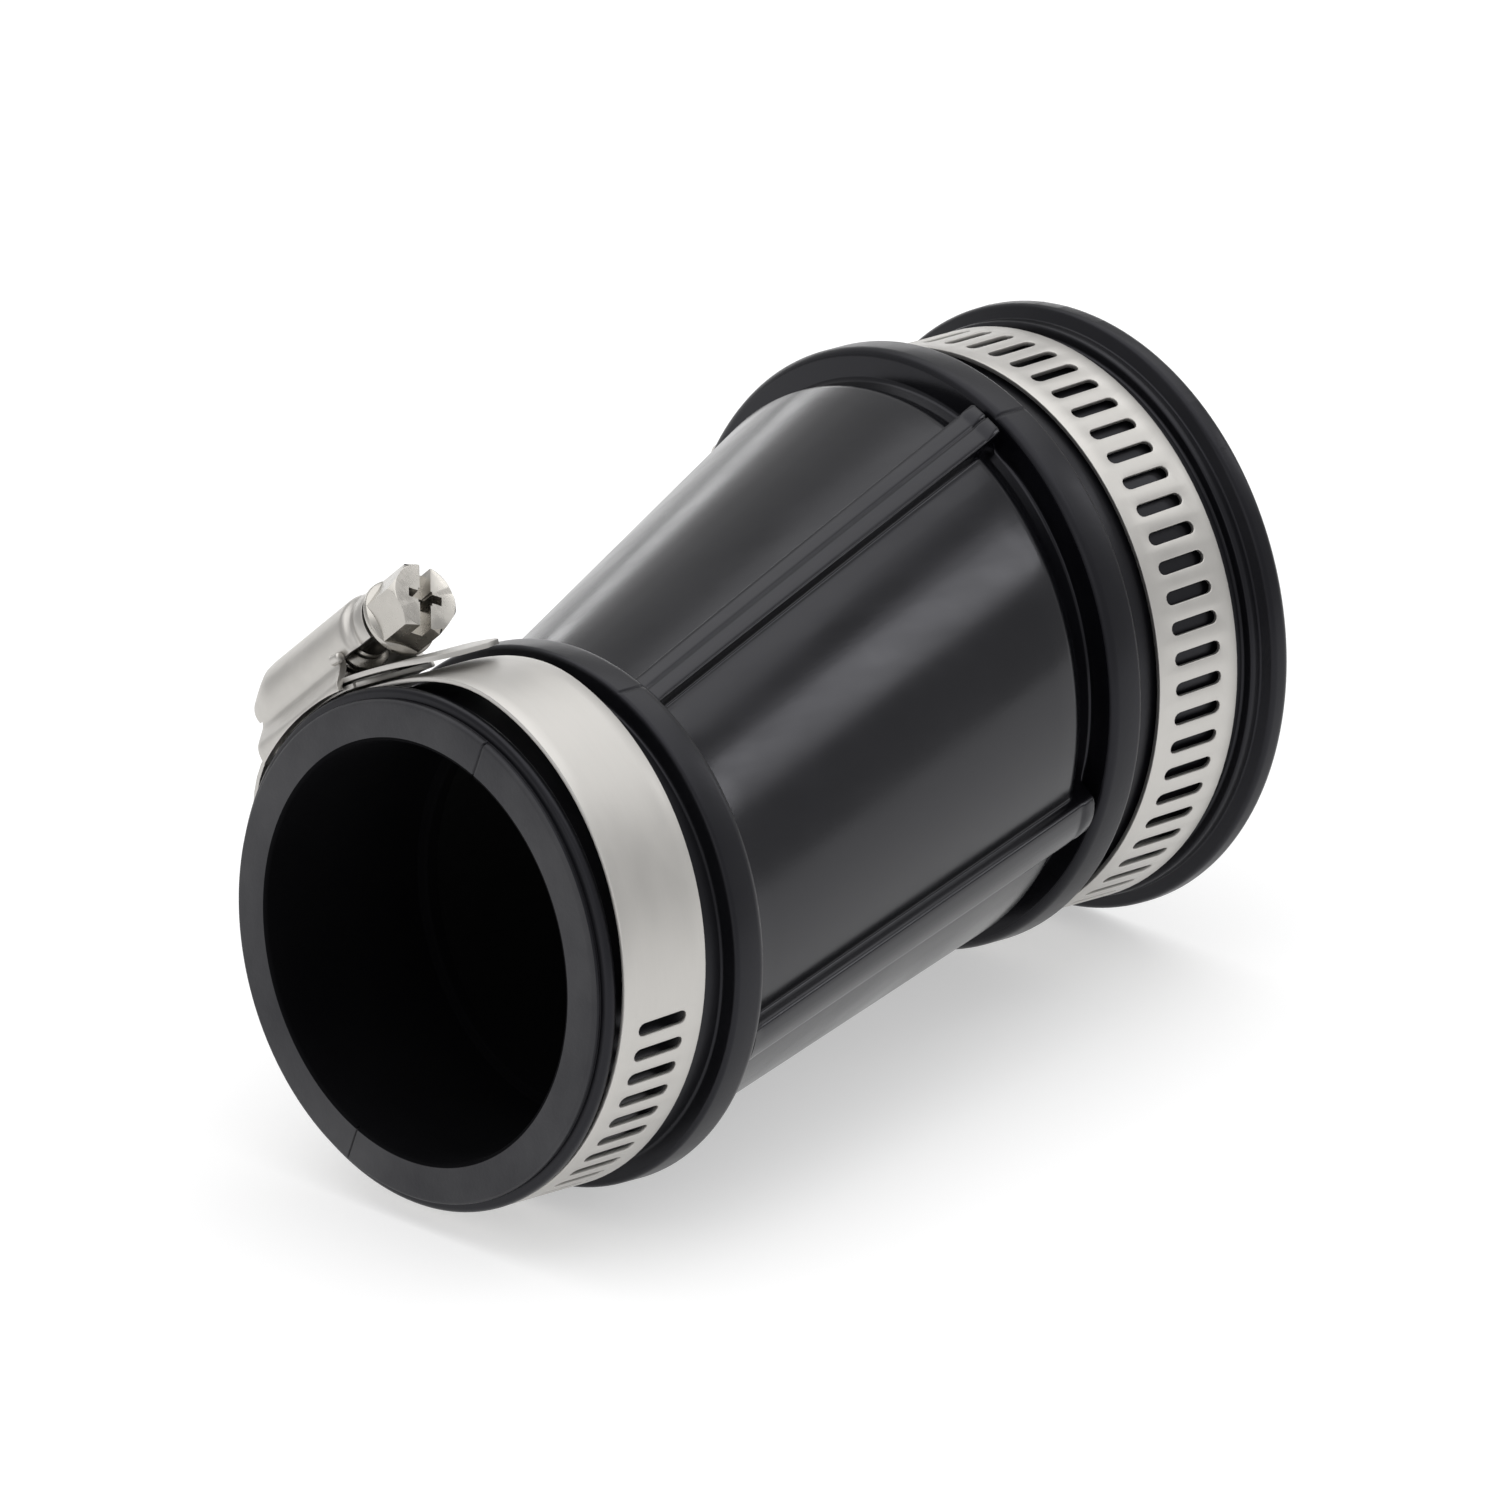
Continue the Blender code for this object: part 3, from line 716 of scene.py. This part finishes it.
STRIP_TINT, HOUSING_TINT, SCREW_TINT = (0.57, 0.556, 0.532), (0.57, 0.553, 0.525), (0.52, 0.50, 0.465)
for clamp in CLAMPS:
    band_steel = strip_material(clamp.name + "_strip_steel", clamp.centre, STRIP_TINT)
    housing_steel = steel_material(clamp.name + "_housing_steel", HOUSING_TINT, 0.38, 0.05, 160)
    screw_steel = steel_material(clamp.name + "_screw_steel", SCREW_TINT, 0.25, 0.06, 420)
    make_strips(clamp, band_steel)
    make_housing(clamp, housing_steel)
    make_screw(clamp, screw_steel)


# ---- floor, light, camera -----------------------------------------------------------
def floor_points():
    """The plane that the coupling rests on: under its small flange and its large lip."""
    front, back = (18.0, -24.9), (101.2, OFFSET[1] - 28.4)
    slope = (back[1] - front[1]) / (back[0] - front[0])
    reach = 1600.0
    height = front[1] - 0.05 - slope * front[0]
    return [(x, y, height + slope * x) for x, y in
            ((-reach, -reach), (reach, -reach), (reach, reach), (-reach, reach))]


def floor_material():
    """Matt white paper, lit a little from within so that it reads as a white studio floor."""
    n = Nodes("pale_floor")
    place = n.add("TexCoord").outputs["Object"]
    cloud = n.noise(place, 6, 2.0)
    n.set(Base_Color=n.blend(cloud, (0.60, 0.60, 0.60), (0.63, 0.63, 0.63)),
          Roughness=0.9, Specular_IOR_Level=0.0,
          Emission_Color=(1, 1, 1, 1), Emission_Strength=0.47)
    return n.material


floor = make_object("floor", floor_points(), [(0, 1, 2, 3)], (floor_material(),))
if floor.data.polygons[0].normal.z < 0:
    floor.data.flip_normals()

CENTRE = Vector((0.051, 0.010, 0.002))      # metres, the middle of the coupling


def add_light(name, azimuth, elevation, distance, size, power):
    """A soft panel aimed at the object from a direction, in degrees from +X towards +Y."""
    az, el = math.radians(azimuth), math.radians(elevation)
    way = Vector((math.cos(el) * math.cos(az), math.cos(el) * math.sin(az), math.sin(el)))
    data = bpy.data.lights.new(name, "AREA")
    data.shape = "RECTANGLE"
    data.size, data.size_y = size
    data.energy = power
    light = bpy.data.objects.new(name, data)
    light.location = CENTRE + way * distance
    light.rotation_euler = way.to_track_quat("Z", "Y").to_euler()
    bpy.context.scene.collection.objects.link(light)
    light.visible_camera = False


add_light("back_wall", 57, 9, 1.3, (1.7, 0.16), 1.7)
add_light("side_softbox", -19, 34, 1.0, (0.12, 0.34), 0.55)
add_light("overhead", 60, 84, 1.2, (1.9, 1.9), 13.0)
add_light("front_fill", -160, 24, 1.6, (1.2, 0.6), 1.6)

# White walls all round: they light the object softly, and the camera sees them pure white.
world = bpy.data.worlds.new("studio")
bpy.context.scene.world = world
world.use_nodes = True
tree = world.node_tree
shade = tree.nodes["Background"]
shade.inputs["Color"].default_value = (0.56, 0.56, 0.563, 1)
shade.inputs["Strength"].default_value = 1.0
seen = tree.nodes.new("ShaderNodeBackground")
seen.inputs["Color"].default_value = (1, 1, 1, 1)
seen.inputs["Strength"].default_value = 1.0
path = tree.nodes.new("ShaderNodeLightPath")
either = tree.nodes.new("ShaderNodeMixShader")
tree.links.new(path.outputs["Is Camera Ray"], either.inputs["Fac"])
tree.links.new(shade.outputs["Background"], either.inputs[1])
tree.links.new(seen.outputs["Background"], either.inputs[2])
tree.links.new(either.outputs["Shader"], tree.nodes["World Output"].inputs["Surface"])

camera_data = bpy.data.cameras.new("camera")
camera_data.lens = 720
camera_data.sensor_width = 36
camera_data.clip_start, camera_data.clip_end = 0.1, 20
camera = bpy.data.objects.new("camera", camera_data)
right = Vector((0.7141, -0.6986, 0.0441)).normalized()
back = Vector((-0.6719, -0.6664, 0.3231)).normalized()
up = back.cross(right).normalized()
right = up.cross(back)
camera.matrix_world = Matrix((right, up, back)).transposed().to_4x4()
camera.matrix_world.translation = (Vector((24.95, -16.21, 18.45)) + back * 2678.6) * MM
bpy.context.scene.collection.objects.link(camera)
bpy.context.scene.camera = camera
bpy.context.scene.view_settings.view_transform = "Standard"
